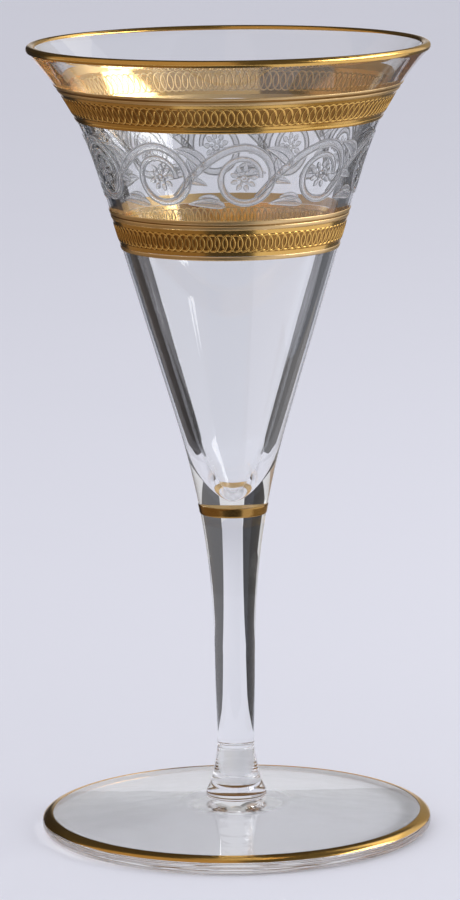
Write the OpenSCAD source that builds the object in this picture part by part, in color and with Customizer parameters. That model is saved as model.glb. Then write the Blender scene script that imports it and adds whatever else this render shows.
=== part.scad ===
// Sherry glass: a flared bowl, a drawn stem and a disc foot in clear glass,
// with gilded rings and an etched running scroll on the bowl.
// Millimetres, +Z up, origin on the table under the middle of the foot.

/* [Glass] */
// Height from the table to the gilded lip
glass_h = 147; // [140:1:155]
// Height of the bowl, from its root in the stem ring to the lip
bowl_h = 86.3; // [84.5:0.1:88]
// Diameter of the foot
foot_d = 72.8; // [66:0.2:80]
// Slope of the bowl's straight wall from the upright, in degrees
wall_angle = 16.6; // [15.5:0.1:17.5]
// Radius of the bowl where the flare begins
flare_start_r = 24.25; // [23:0.05:25.5]
// Radius of the outward curve of the flare
flare_bend_r = 55; // [51:1:64]
// Thickness of the straight wall, measured level
wall_t = 2.4; // [2:0.05:2.9]
// Radius of the rounded lip
lip_r = 0.7; // [0.5:0.05:0.9]

/* [Stem and foot] */
// Radius of the stem at its slim part
stem_r = 3.85; // [3.5:0.05:4.4]
// Radius of the stem where it meets the collar of the foot
stem_end_r = 3.45; // [3.1:0.05:3.9]
// Height of the joint between collar and stem
collar_h = 15.5; // [13:0.5:18]
// Half the height of the rounded edge of the foot
foot_edge_h = 1.6; // [1.3:0.05:1.8]
// Slope of the top of the foot, in degrees
foot_slope = 5.3; // [4:0.1:7]
// Width of the flat ring that the foot stands on
foot_rest_w = 2; // [1:0.1:4]

/* [Gilding] */
// Thickness of the gold layer
gild_t = 0.1; // [0.08:0.01:0.15]
// How far the upper gold band lies below the lip
upper_band_drop = 7.1; // [6.5:0.1:8]
// How far the lower gold band lies below the lip
lower_band_drop = 30.1; // [29.5:0.1:31]
// Height of the gold ring around the top of the stem
stem_ring_h = 1.8; // [1:0.1:2.2]
// How far the gold of the lip runs down inside the bowl
rim_inside_h = 0.3; // [0.1:0.05:0.6]
// Width of the gold ring on the shoulder of the foot, measured level
foot_ring_w = 1.8; // [1.2:0.1:1.8]

/* [Scroll] */
// Number of volutes around the bowl
volutes = 10; // [8:1:10]
// How far the middle of the volutes lies below the lip
scroll_drop = 22.1; // [21.8:0.1:22.8]
// Turn of the scroll around the glass, in degrees from the front
scroll_turn = 6; // [0:1:36]
// How far the etched scroll stands out of the glass
scroll_t = 0.2; // [0.15:0.05:0.3]
// Width of the scrolling stalk
stalk_w = 1.6; // [1.2:0.1:1.7]

/* [Hidden] */
$fn = 96;

clear_glass = [0.82, 0.86, 0.9, 0.45];
frosted_glass = [0.86, 0.87, 0.88];
gold = [0.8, 0.6, 0.22];

// Heights at which the outline of the bowl and stem changes
flare_drop = 23;
flare_z = glass_h - flare_drop;
stem_arc_r = 149;
stem_arc_h = stem_arc_r * sin(wall_angle);
straight_z = flare_z - (flare_start_r - stem_r - stem_arc_r * (1 - cos(wall_angle))) / tan(wall_angle);
stem_arc_z = straight_z - stem_arc_h;
bowl_root_z = glass_h - bowl_h;

// The lip is a small circle between the outer and the inner flare
lip_z = glass_h - gild_t - lip_r;
lip_angle = asin((lip_z - flare_z + flare_bend_r * sin(wall_angle)) / (flare_bend_r + lip_r));
lip_cx = outer_r(lip_z - lip_r * sin(lip_angle)) - lip_r * cos(lip_angle);

// The inner flare leaves the inner wall at its own height and ends on the lip
inner_flare_drop = 1;
inner_flare_z = flare_z - inner_flare_drop;
inner_flare_start_r = line_r(inner_flare_z) - wall_t;
lip_dx = lip_cx - inner_flare_start_r;
lip_dz = lip_z - inner_flare_z;
inner_bend_r = (lip_dx * lip_dx + lip_dz * lip_dz - lip_r * lip_r)
    / (2 * (lip_dx * cos(wall_angle) - lip_dz * sin(wall_angle) - lip_r));
inner_lip_angle = atan2(lip_dz + inner_bend_r * sin(wall_angle), inner_bend_r * cos(wall_angle) - lip_dx);
inner_lip_z = lip_z + lip_r * sin(inner_lip_angle);
gild_inside_z = inner_lip_z - rim_inside_h;
gild_inside = [inner_flare_r(gild_inside_z), gild_inside_z];

// The cup's point: a curve from the inner wall down to the axis
point_drop = 73.5;
point_lead = 2;
point_blunt_r = 2.5;
point_blunt_h = 0.1;
root_t = 2;
point_top_z = glass_h - point_drop;
point_z = bowl_root_z + root_t;
point_top_r = line_r(point_top_z) - wall_t;
point_curve = [
    [point_top_r, point_top_z],
    [point_top_r - point_lead * tan(wall_angle), point_top_z - point_lead],
    [point_blunt_r, point_z + point_blunt_h],
    [0, point_z]
];

// Gold bands, measured down from their top edges: where each ring begins and ends
upper_band_z = glass_h - upper_band_drop;
lower_band_z = glass_h - lower_band_drop;
upper_first = [0, 0.45];
upper_second = [0.85, 1.4];
upper_field = [1.45, 6];
upper_bottom = [6.05, 6.7];
lower_first = [0, 0.75];
lower_second = [1, 1.7];
lower_field = [1.75, 6.6];
lower_bottom = [6.7, 7.45];

// The etched scroll keeps inside a belt of this half height
scroll_z = glass_h - scroll_drop;
belt_half_h = 6.2;
belt_steps = 6;
field_steps = 4;
clear_steps = 5;
lip_steps = 10;
inner_steps = 14;
point_steps = 12;
stem_steps = 8;

// Foot: the flat top runs from the collar's bead to the edge, which is rounded wider above than below
shoulder_w = 2.5;
under_edge_w = 1.6;
shoulder_angle = atan2(foot_edge_h, shoulder_w * tan(foot_slope));
// Its underside is hollow, parallel to the slope of the top, inside the ring it stands on
foot_rest_r = foot_d / 2 - under_edge_w - foot_rest_w;
hollow_r = 9;
hollow_z = (foot_rest_r - hollow_r) * tan(foot_slope);
// The collar flares down to a rounded bead that sits on the foot
collar_neck = [stem_end_r + 0.5, collar_h - 3.5];
bead_base_r = stem_end_r + 2.05;
bead_base_z = foot_top_z(bead_base_r);
bead_throat = [stem_end_r + 0.9, bead_base_z + 3.7];
bead_top = [stem_end_r + 1.65, bead_base_z + 2.3];
bead_crest = [stem_end_r + 2.05, bead_base_z + 1.55];
bead_side = [stem_end_r + 2.3, bead_base_z + 0.6];
collar_curve = [[stem_end_r, collar_h], collar_neck, bead_throat, bead_top];
bead_curve = [bead_top, bead_crest, bead_side, [bead_base_r, bead_base_z]];
bead_steps = 6;
foot_ring_edge_angle = 26;
foot_ring_clear = 0.5;
foot_ring_top_angle = min(
    shoulder_angle - foot_ring_clear,
    acos(cos(foot_ring_edge_angle) - foot_ring_w / shoulder_w)
);
edge_steps = 12;
shoulder_steps = 5;

// Radius of the straight wall, carried on above and below it
function line_r(z) = flare_start_r + (z - flare_z) * tan(wall_angle);

// Slope of the flare at a height
function flare_angle(z) = asin(sin(wall_angle) + (z - flare_z) / flare_bend_r);

// Outer radius of the stem and bowl at a height, from the collar to the lip
function outer_r(z) =
    z > flare_z ? flare_start_r + flare_bend_r * (cos(wall_angle) - cos(flare_angle(z))) :
    z > straight_z ? line_r(z) :
    z > stem_arc_z ? stem_r + stem_arc_r - sqrt(pow(stem_arc_r, 2) - pow(z - stem_arc_z, 2)) :
    stem_end_r + (stem_r - stem_end_r) * (z - collar_h) / (stem_arc_z - collar_h);

// Inner radius of the flare at a height
function inner_flare_r(z) =
    let (angle = asin(sin(wall_angle) + (z - inner_flare_z) / inner_bend_r))
    inner_flare_start_r + inner_bend_r * (cos(wall_angle) - cos(angle));

// Point on the lip: angle 0 points outwards and 90 up
function lip_point(angle, grow) =
    [lip_cx + (lip_r + grow) * cos(angle), lip_z + (lip_r + grow) * sin(angle)];

// Point on the rounded edge of the foot: angle 0 points outwards and 90 up
function foot_edge_point(angle, grow) =
    let (width = angle > 0 ? shoulder_w : under_edge_w)
    [foot_d / 2 - width + (width + grow) * cos(angle), foot_edge_h + (foot_edge_h + grow) * sin(angle)];

// Height of the top of the foot at a radius
function foot_top_z(r) =
    let (shoulder = foot_edge_point(shoulder_angle, 0))
    shoulder[1] + (shoulder[0] - r) * tan(foot_slope);

// Cubic curve through its first and last points
function bezier(p, t) =
    pow(1 - t, 3) * p[0] + 3 * pow(1 - t, 2) * t * p[1] + 3 * (1 - t) * t * t * p[2] + pow(t, 3) * p[3];

// Evenly spaced values from one end to the other, both included
function spread(from, to, steps) = [for (i = [0:steps]) from + (to - from) * i / steps];

function reversed(list) = [for (i = [len(list) - 1:-1:0]) list[i]];

// Top and bottom heights of a ring in a band
function ring_zs(band_z, ring, steps) = spread(band_z - ring[0], band_z - ring[1], steps);

// Heights of every corner on the outside of the bowl, from the lip down
upper_zs = concat(
    ring_zs(upper_band_z, upper_first, 1),
    ring_zs(upper_band_z, upper_second, 1),
    ring_zs(upper_band_z, upper_field, field_steps),
    ring_zs(upper_band_z, upper_bottom, 1)
);
belt_zs = spread(scroll_z + belt_half_h, scroll_z - belt_half_h, belt_steps);
lower_zs = concat(
    ring_zs(lower_band_z, lower_first, 1),
    ring_zs(lower_band_z, lower_second, 1),
    ring_zs(lower_band_z, lower_field, 1),
    ring_zs(lower_band_z, lower_bottom, 1)
);
lip_edge_z = lip_point(-lip_angle, 0)[1];
clear_gap = 0.6;
bowl_outer_zs = concat(
    spread(lip_edge_z, upper_band_z + clear_gap, clear_steps),
    upper_zs,
    belt_zs,
    lower_zs,
    spread(straight_z, bowl_root_z + stem_ring_h / 2, stem_steps),
    [bowl_root_z]
);
stem_outer_zs = concat(
    [bowl_root_z],
    spread(bowl_root_z - stem_ring_h / 2, stem_arc_z, stem_steps),
    [collar_h]
);

function outer_points(zs, grow) = [for (z = zs) [outer_r(z) + grow, z]];

// A layer of even level thickness on the outside of the bowl
module layer(zs, thickness) {
    rotate_extrude()
        polygon(concat(outer_points(zs, 0), reversed(outer_points(zs, thickness))));
}

module band_ring(band_z, ring, steps) {
    color(gold) layer(ring_zs(band_z, ring, steps), gild_t);
}

module upper_band_first_fillet() {
    band_ring(upper_band_z, upper_first, 1);
}

module upper_band_second_fillet() {
    band_ring(upper_band_z, upper_second, 1);
}

module upper_band_guilloche() {
    band_ring(upper_band_z, upper_field, field_steps);
}

module upper_band_bottom_fillet() {
    band_ring(upper_band_z, upper_bottom, 1);
}

module lower_band_first_fillet() {
    band_ring(lower_band_z, lower_first, 1);
}

module lower_band_second_fillet() {
    band_ring(lower_band_z, lower_second, 1);
}

module lower_band_guilloche() {
    band_ring(lower_band_z, lower_field, 1);
}

module lower_band_bottom_fillet() {
    band_ring(lower_band_z, lower_bottom, 1);
}

lip_angles = spread(180 - inner_lip_angle, -lip_angle, lip_steps);
function lip_points(grow) = [for (a = lip_angles) lip_point(a, grow)];

module bowl() {
    inner = [for (z = spread(inner_flare_z, gild_inside_z, inner_steps)) [inner_flare_r(z), z]];
    point = [for (t = spread(1, 0, point_steps)) bezier(point_curve, t)];
    rest = [for (i = [1:len(bowl_outer_zs) - 1]) [outer_r(bowl_outer_zs[i]), bowl_outer_zs[i]]];
    color(clear_glass)
        rotate_extrude()
            polygon(concat([[0, bowl_root_z]], point, inner, lip_points(0), rest));
}

module stem() {
    color(clear_glass)
        rotate_extrude()
            polygon(concat([[0, bowl_root_z]], outer_points(stem_outer_zs, 0), [[0, collar_h]]));
}

// The gold ring on the foot covers the shoulder, from beside the flat top down over the rounded edge
ring_angles = spread(foot_ring_top_angle, foot_ring_edge_angle, shoulder_steps);
function foot_ring_points(grow) = [for (a = ring_angles) foot_edge_point(a, grow)];

module foot() {
    collar = [for (t = spread(0, 1, point_steps)) bezier(collar_curve, t)];
    bead = [for (i = [1:bead_steps]) bezier(bead_curve, i / bead_steps)];
    top = concat(collar, bead, [foot_edge_point(shoulder_angle, 0)]);
    edge_step = (foot_ring_edge_angle + 90) / edge_steps;
    edge = [for (i = [1:edge_steps]) foot_edge_point(foot_ring_edge_angle - i * edge_step, 0)];
    under = [[foot_rest_r, 0], [hollow_r, hollow_z]];
    color(clear_glass)
        rotate_extrude()
            polygon(concat([[0, hollow_z], [0, collar_h]], top, foot_ring_points(0), edge, under));
}

module foot_ring() {
    color(gold)
        rotate_extrude()
            polygon(concat(foot_ring_points(0), reversed(foot_ring_points(gild_t))));
}

module rim_gilding() {
    inside_over = gild_inside + gild_t * [-cos(inner_lip_angle), sin(inner_lip_angle)];
    color(gold)
        rotate_extrude()
            polygon(concat([gild_inside], lip_points(0), reversed(lip_points(gild_t)), [inside_over]));
}

module stem_ring() {
    half = stem_ring_h / 2;
    color(gold) layer([bowl_root_z + half, bowl_root_z, bowl_root_z - half], gild_t);
}

// Scroll, drawn flat with the middle of a volute at the origin

// Middle of the stalk as it winds inwards, clockwise from the top
wind_turn = 450;
wind_start = 90;
wind_from_r = 5.3;
wind_to_r = 2.9;
wind_steps = 30;
stalk_end_w = 0.8;
function wind_point(turn) =
    let (r = wind_from_r + (wind_to_r - wind_from_r) * turn / wind_turn)
    r * [cos(wind_start - turn), sin(wind_start - turn)];

// The stalk springs from under the neighbouring volute and runs up into the winding
spring_curve = [[-10.3, -5.4], [-8.8, -4.4], [-5.9, wind_from_r], wind_point(0)];
spring_steps = 10;
stalk = concat(
    [for (i = [0:spring_steps - 1]) bezier(spring_curve, i / spring_steps)],
    [for (i = [0:wind_steps]) wind_point(wind_turn * i / wind_steps)]
);

// Unit vector square to the stalk at one of its points
function stalk_side(i) =
    let (
        ahead = stalk[min(i + 1, len(stalk) - 1)],
        behind = stalk[max(i - 1, 0)],
        d = (ahead - behind) / norm(ahead - behind)
    )
    [-d[1], d[0]];

function stalk_half_w(i) = (stalk_w + (stalk_end_w - stalk_w) * i / (len(stalk) - 1)) / 2;

function stalk_edge(side) =
    [for (i = [0:len(stalk) - 1]) stalk[i] + side * stalk_half_w(i) * stalk_side(i)];

rosette_petals = 7;
petal_r = 0.75;
petal_ring_r = 1.5;

module rosette() {
    circle(petal_ring_r);
    for (i = [0:rosette_petals - 1])
        rotate(i * 360 / rosette_petals)
            translate([petal_ring_r, 0])
                circle(petal_r);
}

leaf_points = 5;

// A pointed leaf that grows to the right from the origin
module leaf(length, width) {
    function edge(i, side) = [length * i / leaf_points, side * width / 2 * sin(180 * i / leaf_points)];
    upper = [for (i = [0:leaf_points]) edge(i, 1)];
    lower = [for (i = [leaf_points - 1:-1:1]) edge(i, -1)];
    polygon(concat(upper, lower));
}

// Sprigs that fill the gaps above and below the stalk between two volutes
sprig_up = [-6.9, 0.9];
sprig_up_heading = 102;
sprig_down = [-3.9, -3.2];
sprig_down_heading = 195;
sprig_turns = [-26, 0, 26];
sprig_length = 4;
sprig_width = 1.5;

module sprig(place, heading) {
    translate(place)
        for (turn = sprig_turns)
            rotate(heading + turn)
                leaf(sprig_length, sprig_width);
}

module scroll() {
    polygon(concat(stalk_edge(1), reversed(stalk_edge(-1))));
    rosette();
    sprig(sprig_up, sprig_up_heading);
    sprig(sprig_down, sprig_down_heading);
}

// The flat scroll is pushed outwards through the thin layer and keeps what lies in it
scroll_span = 40;
scroll_margin = 1;

module volute_patch() {
    reach_from = outer_r(scroll_z - belt_half_h) * cos(scroll_span);
    reach_to = outer_r(scroll_z + belt_half_h) + scroll_margin;
    intersection() {
        layer(belt_zs, scroll_t);
        translate([reach_from, 0, scroll_z])
            rotate([90, 0, 90])
                linear_extrude(reach_to - reach_from)
                    scroll();
    }
}

module scroll_frieze() {
    color(frosted_glass)
        for (i = [0:volutes - 1])
            rotate(i * 360 / volutes + scroll_turn - 90)
                volute_patch();
}

bowl();
stem();
foot();
rim_gilding();
upper_band_first_fillet();
upper_band_second_fillet();
upper_band_guilloche();
upper_band_bottom_fillet();
scroll_frieze();
lower_band_first_fillet();
lower_band_second_fillet();
lower_band_guilloche();
lower_band_bottom_fillet();
stem_ring();
foot_ring();
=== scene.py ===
"""Looks of a sherry glass: clear glass, fired gold and an etched scroll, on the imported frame.

Sizes are in millimetres, as on the drawing of the part, and become metres when a mesh is made.
Angles around the glass start at the front, where the camera stands, and grow to the right.
"""

import logging
import math
from dataclasses import dataclass
from enum import Enum
from typing import Any, Sequence

import bmesh
import bpy
import numpy as np
from mathutils import Matrix, Quaternion, Vector


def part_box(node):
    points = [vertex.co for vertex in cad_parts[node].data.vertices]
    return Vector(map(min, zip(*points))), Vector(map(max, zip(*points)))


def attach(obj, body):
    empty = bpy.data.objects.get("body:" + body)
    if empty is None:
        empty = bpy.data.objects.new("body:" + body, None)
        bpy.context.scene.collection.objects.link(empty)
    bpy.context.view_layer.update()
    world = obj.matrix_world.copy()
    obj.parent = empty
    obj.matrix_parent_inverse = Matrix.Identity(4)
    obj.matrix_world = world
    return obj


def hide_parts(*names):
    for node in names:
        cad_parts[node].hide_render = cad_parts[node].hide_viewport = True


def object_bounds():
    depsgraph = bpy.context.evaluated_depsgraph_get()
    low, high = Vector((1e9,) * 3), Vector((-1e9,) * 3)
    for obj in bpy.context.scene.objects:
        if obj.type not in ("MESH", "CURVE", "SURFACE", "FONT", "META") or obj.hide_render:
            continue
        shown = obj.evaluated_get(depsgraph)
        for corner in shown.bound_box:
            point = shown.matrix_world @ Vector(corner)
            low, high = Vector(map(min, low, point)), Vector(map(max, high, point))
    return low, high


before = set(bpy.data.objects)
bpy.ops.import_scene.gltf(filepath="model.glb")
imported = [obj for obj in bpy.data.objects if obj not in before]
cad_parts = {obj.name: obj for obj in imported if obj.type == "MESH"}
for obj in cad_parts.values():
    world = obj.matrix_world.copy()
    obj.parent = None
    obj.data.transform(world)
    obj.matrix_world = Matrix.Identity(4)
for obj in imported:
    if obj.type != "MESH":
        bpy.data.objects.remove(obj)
CAD_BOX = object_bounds()

LOG = logging.getLogger("sherry_glass")
BODY = "root"
MM = 0.001
FULL_TURN = 2 * math.pi
ON_AXIS = 1e-6
SHARP_ANGLE = math.radians(38)
NOISE_MIDDLE = 0.5

Colour = tuple[float, float, float]
Point2 = tuple[float, float]
Point3 = tuple[float, float, float]
Numbers = float | np.ndarray
CardMesh = tuple[list[Point3], list[tuple[int, ...]]]


class Finish(Enum):
    """Finishes that a face of the glass can have."""

    CLEAR = "clear_glass"
    SEAM = "fused_seam"
    FROST = "etched_frost"
    # Grey, rougher etched frost: painted shade on the sides of the strokes' rims, on their outer edges and
    # in the leaves' veins.
    SHADED_FROST = "etched_frost_painted_shade"
    # Whiter, denser etched frost: a painted highlight on the tops of the strokes' rims.
    HIGHLIT_FROST = "dense_frost_painted_highlight"
    BURNISHED = "burnished_gold"
    PASTE = "raised_gold"
    # Matt gold, darkened: painted shade in the recesses, in the ground between the ovals and under the
    # foot's ring.
    MATT_SHADE = "matt_gold_painted_shade"
    UNDERSIDE = "gold_under_glass"
    # A darker gold, used all over the stem ring.
    DARKER_GOLD = "darker_gold"


class Slot(Enum):
    """The record's material slots."""

    GLASS = "clear_glass"
    ETCHED = "etched_glass"
    GOLD = "gilding"


class Socket:
    """A node's output, with arithmetic on values that adds Math nodes."""

    def __init__(self, graph: "Graph", link: bpy.types.NodeSocket) -> None:
        """Wraps one output of the graph."""
        self.graph = graph
        self.link = link

    def _math(self, operation: str, first: "Socket | float", second: "Socket | float") -> "Socket":
        """One Math node on two values or sockets."""
        return self.graph.node("ShaderNodeMath", {"operation": operation}, {0: first, 1: second})

    def __add__(self, other: "Socket | float") -> "Socket":
        """Sum of this value and another."""
        return self._math("ADD", self, other)

    def __radd__(self, other: "Socket | float") -> "Socket":
        """Sum of a number and this value."""
        return self._math("ADD", other, self)

    def __sub__(self, other: "Socket | float") -> "Socket":
        """This value less another."""
        return self._math("SUBTRACT", self, other)

    def __rsub__(self, other: "Socket | float") -> "Socket":
        """A number less this value."""
        return self._math("SUBTRACT", other, self)

    def __mul__(self, other: "Socket | float") -> "Socket":
        """Product of this value and another."""
        return self._math("MULTIPLY", self, other)

    def __rmul__(self, other: "Socket | float") -> "Socket":
        """Product of a number and this value."""
        return self._math("MULTIPLY", other, self)


class Graph:
    """The nodes of one material or world, written from Python expressions.

    The three numbers are the places of a Mix node's colours among its inputs and outputs.
    """

    MIX_FIRST = 6
    MIX_SECOND = 7
    MIX_RESULT = 2

    def __init__(self, owner: bpy.types.ID) -> None:
        """Empties the owner's node tree and keeps it.

        Args:
            owner: the material or world.
        """
        owner.use_nodes = True
        self.tree = owner.node_tree
        self.tree.nodes.clear()

    def node(
        self,
        kind: str,
        settings: dict[str, Any] | None = None,
        inputs: dict[str | int, Any] | None = None,
        output: str | int = 0,
    ) -> Socket:
        """Adds one node.

        Args:
            kind: the node's type.
            settings: properties of the node, set first.
            inputs: values or sockets, by the name or number of the node's inputs.
            output: name or number of the output that is wanted.

        Returns:
            The wanted output.
        """
        made = self.tree.nodes.new(kind)
        for name, value in (settings or {}).items():
            setattr(made, name, value)
        for name, value in (inputs or {}).items():
            if isinstance(value, Socket):
                self.tree.links.new(value.link, made.inputs[name])
            else:
                made.inputs[name].default_value = value
        return Socket(self, made.outputs[output] if len(made.outputs) else None)

    def mix(self, factor: Socket | float, first: Socket | Colour, second: Socket | Colour) -> Socket:
        """Colour between two colours.

        Args:
            factor: value or socket, 0 for the first colour and 1 for the second.
            first: colour or socket.
            second: colour or socket.

        Returns:
            The mixed colour.
        """
        shown = {
            place: value if isinstance(value, Socket) else (*value, 1.0)
            for place, value in ((self.MIX_FIRST, first), (self.MIX_SECOND, second))
        }
        return self.node("ShaderNodeMix", {"data_type": "RGBA"}, {0: factor, **shown}, self.MIX_RESULT)

    def noise(self, stretch: Point3, detail: float = 2.0) -> Socket:
        """Noise over the object's own space.

        Args:
            stretch: how many times a metre the noise repeats along X, Y and Z.
            detail: how many finer layers it has.

        Returns:
            The noise, about 0.5 in the middle.
        """
        place = self.node("ShaderNodeTexCoord", output="Object")
        spread = self.node("ShaderNodeMapping", inputs={"Vector": place, "Scale": stretch})
        return self.node("ShaderNodeTexNoise", inputs={"Vector": spread, "Scale": 1.0, "Detail": detail})

    def bump(self, height: Socket, depth: float) -> Socket:
        """Normal of a surface raised by a height.

        Args:
            height: value from 0 to 1.
            depth: rise of the value 1, in metres.

        Returns:
            The normal.
        """
        return self.node("ShaderNodeBump", inputs={"Strength": 1.0, "Distance": depth, "Height": height})

    def surface(self, inputs: dict[str, Any]) -> None:
        """Ends a material in a Principled shader with these inputs."""
        shader = self.node("ShaderNodeBsdfPrincipled", inputs=inputs)
        self.node("ShaderNodeOutputMaterial", inputs={"Surface": shader})

    def glow(self, colour: Colour) -> None:
        """Ends a material in a plain shader that has this colour in any light."""
        shader = self.node("ShaderNodeEmission", inputs={"Color": (*colour, 1.0)})
        self.node("ShaderNodeOutputMaterial", inputs={"Surface": shader})


@dataclass(frozen=True)
class ClearGlass:
    """Clear glass with the faint cords and ripples that hot work leaves in it."""

    tint: Colour = (0.985, 0.99, 0.988)
    cord_tint: Colour = (0.97, 0.98, 0.982)
    ior: float = 1.5
    cord_spread: Point3 = (260.0, 260.0, 32.0)
    ripple_spread: Point3 = (150.0, 150.0, 60.0)
    ripple_depth: float = 1.2e-5
    haze: float = 0.012

    def dress(self, graph: Graph) -> None:
        """Adds the finish's nodes to a material.

        Args:
            graph: the material's nodes.
        """
        cords = graph.noise(self.cord_spread)
        ripples = graph.noise(self.ripple_spread)
        graph.surface({
            "Base Color": graph.mix(cords, self.tint, self.cord_tint),
            "Roughness": self.haze * cords,
            "IOR": self.ior,
            "Transmission Weight": 1.0,
            "Normal": graph.bump(ripples, self.ripple_depth),
        })


@dataclass(frozen=True)
class FusedSeam:
    """The joint inside the hot-fused glass, which can't be seen."""

    tint: Colour = (1.0, 1.0, 1.0)
    cover: float = 0.0

    def dress(self, graph: Graph) -> None:
        """Adds the finish's nodes to a material."""
        graph.surface({"Base Color": (*self.tint, 1.0), "Alpha": self.cover})


@dataclass(frozen=True)
class EtchedFrost:
    """Acid-etched glass: a fine grain that spreads the light that comes through it."""

    light: Colour = (0.97, 0.972, 0.975)
    shade: Colour = (0.9, 0.905, 0.912)
    through: float = 0.86
    roughness: float = 0.14
    roughness_play: float = 0.12
    ior: float = 1.45
    cloud_spread: float = 900.0
    grain_spread: float = 9000.0
    grain_depth: float = 1.0e-5
    grain_detail: float = 1.0

    def dress(self, graph: Graph) -> None:
        """Adds the finish's nodes to a material.

        Args:
            graph: the material's nodes.
        """
        clouds = graph.noise((self.cloud_spread,) * 3)
        grain = graph.noise((self.grain_spread,) * 3, self.grain_detail)
        graph.surface({
            "Base Color": graph.mix(clouds, self.light, self.shade),
            "Roughness": self.roughness + self.roughness_play * (clouds - NOISE_MIDDLE),
            "IOR": self.ior,
            "Transmission Weight": self.through,
            "Normal": graph.bump(grain, self.grain_depth),
        })


@dataclass(frozen=True)
class Gold:
    """Fired gold: burnished, or matt, with thin and worn places."""

    bright: Colour
    worn: Colour
    roughness: float
    roughness_play: float
    wear_spread: Point3 = (420.0, 420.0, 900.0)
    grain_spread: Point3 = (2600.0, 2600.0, 14000.0)
    grain_depth: float = 2.0e-6
    wear_detail: float = 4.0

    def dress(self, graph: Graph) -> None:
        """Adds the finish's nodes to a material.

        Args:
            graph: the material's nodes.
        """
        wear = graph.noise(self.wear_spread, self.wear_detail)
        grain = graph.noise(self.grain_spread)
        graph.surface({
            "Base Color": graph.mix(wear, self.bright, self.worn),
            "Metallic": 1.0,
            "Roughness": self.roughness + self.roughness_play * (grain - NOISE_MIDDLE),
            "Normal": graph.bump(grain, self.grain_depth),
        })


class Palette:
    """The materials of the finishes, each made once."""

    FINISHES = {
        Finish.CLEAR: ClearGlass(),
        Finish.SEAM: FusedSeam(),
        Finish.FROST: EtchedFrost(),
        # Grey frost: painted shade along the edges of the strokes and in the leaves' veins.
        Finish.SHADED_FROST: EtchedFrost((0.5, 0.51, 0.54), (0.38, 0.39, 0.42), 0.7, 0.4),
        # Whiter, denser frost: painted highlight along the tops of the strokes' rims.
        Finish.HIGHLIT_FROST: EtchedFrost((1.0, 1.0, 1.0), (0.95, 0.953, 0.96), 0.6, 0.35),
        Finish.BURNISHED: Gold((0.88, 0.55, 0.16), (0.78, 0.46, 0.12), 0.18, 0.12),
        Finish.PASTE: Gold((0.9, 0.65, 0.33), (0.8, 0.55, 0.25), 0.36, 0.14),
        # Dark matt gold: the roughness is the matt finish, the dark colour is painted shade.
        Finish.MATT_SHADE: Gold((0.42, 0.22, 0.06), (0.31, 0.155, 0.045), 0.34, 0.2),
        # Darker gold, for the stem ring.
        Finish.DARKER_GOLD: Gold((0.54, 0.32, 0.095), (0.42, 0.235, 0.065), 0.2, 0.14),
        Finish.UNDERSIDE: Gold((0.92, 0.62, 0.26), (0.84, 0.54, 0.21), 0.025, 0.02),
    }

    def __init__(self) -> None:
        """Starts with no material made."""
        self._made: dict[Finish, bpy.types.Material] = {}

    def material(self, finish: Finish) -> bpy.types.Material:
        """The material of a finish.

        Args:
            finish: which one.

        Returns:
            The material, made at the first call.
        """
        if finish not in self._made:
            made = bpy.data.materials.new(finish.value)
            self.FINISHES[finish].dress(Graph(made))
            self._made[finish] = made
        return self._made[finish]


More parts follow.
